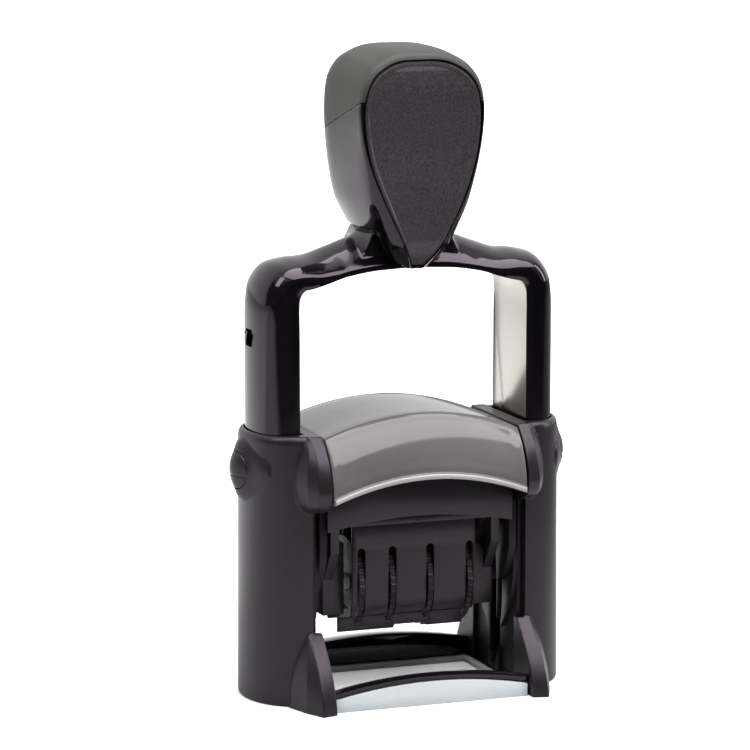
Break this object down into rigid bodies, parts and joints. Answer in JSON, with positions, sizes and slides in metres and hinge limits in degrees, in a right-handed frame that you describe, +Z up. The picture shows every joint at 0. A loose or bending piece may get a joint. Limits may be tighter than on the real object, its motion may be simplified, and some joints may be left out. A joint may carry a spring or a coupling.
{
  "type": "self-inking date stamp",
  "caption": "Self-inking date stamp with a bow handle and teardrop knob: pressing it turns the text plate over from the ink pad to the paper, with knurled wheels to set the date.",
  "frame": {"origin": "on the table, under the middle of the stamp's footprint", "axes": "+X along the text plate to the right of a reader who faces the stamp, -Y towards that reader, +Z up along the handle's stroke"},
  "size_m": [0.0788, 0.0486, 0.1433],
  "materials": {
    "matte_black": "fine satin",
    "gloss_black": "polished",
    "soft_grey": "soft matte",
    "cover_clear": "glossy",
    "window_clear": "clear",
    "card": "matte",
    "steel": "fine brushed",
    "spring_steel": "plain",
    "die_rubber": "matte",
    "ink_felt": "matte",
    "wheel_black": "satin",
    "shaft_white": "satin",
    "badge_dark": "fine grain"
  },
  "bodies": {
    "housing": {"left_column": "matte_black", "right_column": "matte_black", "left_cam_plate": "gloss_black", "right_cam_plate": "gloss_black", "front_base_bar": "gloss_black", "back_base_bar": "gloss_black", "positioning_window": "window_clear", "pad_bridge": "matte_black", "index_cover": "cover_clear", "index_card": "card", "left_return_spring": "spring_steel", "right_return_spring": "spring_steel"},
    "handle": {"handle_bow": "gloss_black", "steel_bow": "steel", "knob_body": "gloss_black", "knob_cap": "soft_grey", "badge_plate": "badge_dark", "left_axle": "steel", "right_axle": "steel"},
    "carriage": {"carriage_frame": "matte_black", "wheel_cover": "matte_black", "carriage_back": "matte_black", "band_bridge": "wheel_black", "wheel_shaft": "shaft_white", "die_plate": "wheel_black", "text_die": "die_rubber", "left_guide_pin": "steel", "right_guide_pin": "steel", "date_band_1": "die_rubber", "date_band_2": "die_rubber", "date_band_3": "die_rubber", "date_band_4": "die_rubber"},
    "pad_cassette": {"pad_tray": "matte_black", "ink_pad": "ink_felt"},
    "left_button": {"left_lock_button": "matte_black"},
    "right_button": {"right_lock_button": "matte_black"},
    "date_wheel_1": {"date_wheel_1": "wheel_black"},
    "date_wheel_2": {"date_wheel_2": "wheel_black"},
    "date_wheel_3": {"date_wheel_3": "wheel_black"},
    "date_wheel_4": {"date_wheel_4": "wheel_black"}
  },
  "joints": [
    {"name": "handle_press", "type": "slide", "parent": "housing", "child": "handle", "axis": [0, 0, -1], "range_m": [0, 0.029], "stiffness_N_per_m": 600, "springref_m": -0.0167, "deforming": ["left_return_spring", "right_return_spring"]},
    {"name": "carriage_flip", "type": "hinge", "parent": "handle", "child": "carriage", "pos_m": [0, 0, 0.036], "axis": [1, 0, 0], "range_deg": [0, 180]},
    {"name": "pad_slide", "type": "slide", "parent": "housing", "child": "pad_cassette", "axis": [0, -1, 0], "range_m": [0, 0.045]},
    {"name": "left_button_push", "type": "slide", "parent": "housing", "child": "left_button", "axis": [1, 0, 0], "range_m": [0, 0.0012], "stiffness_N_per_m": 1500, "springref_m": -0.0002},
    {"name": "right_button_push", "type": "slide", "parent": "housing", "child": "right_button", "axis": [-1, 0, 0], "range_m": [0, 0.0012], "stiffness_N_per_m": 1500, "springref_m": -0.0002},
    {"name": "date_wheel_1_turn", "type": "hinge", "parent": "carriage", "child": "date_wheel_1", "pos_m": [0, 0, 0.0242], "axis": [1, 0, 0], "continuous": true},
    {"name": "date_wheel_2_turn", "type": "hinge", "parent": "carriage", "child": "date_wheel_2", "pos_m": [0, 0, 0.0242], "axis": [1, 0, 0], "continuous": true},
    {"name": "date_wheel_3_turn", "type": "hinge", "parent": "carriage", "child": "date_wheel_3", "pos_m": [0, 0, 0.0242], "axis": [1, 0, 0], "continuous": true},
    {"name": "date_wheel_4_turn", "type": "hinge", "parent": "carriage", "child": "date_wheel_4", "pos_m": [0, 0, 0.0242], "axis": [1, 0, 0], "continuous": true}
  ],
  "couplings": [
    {"joint": "carriage_flip", "follows": "handle_press", "rad_per_m": 108.33}
  ]
}
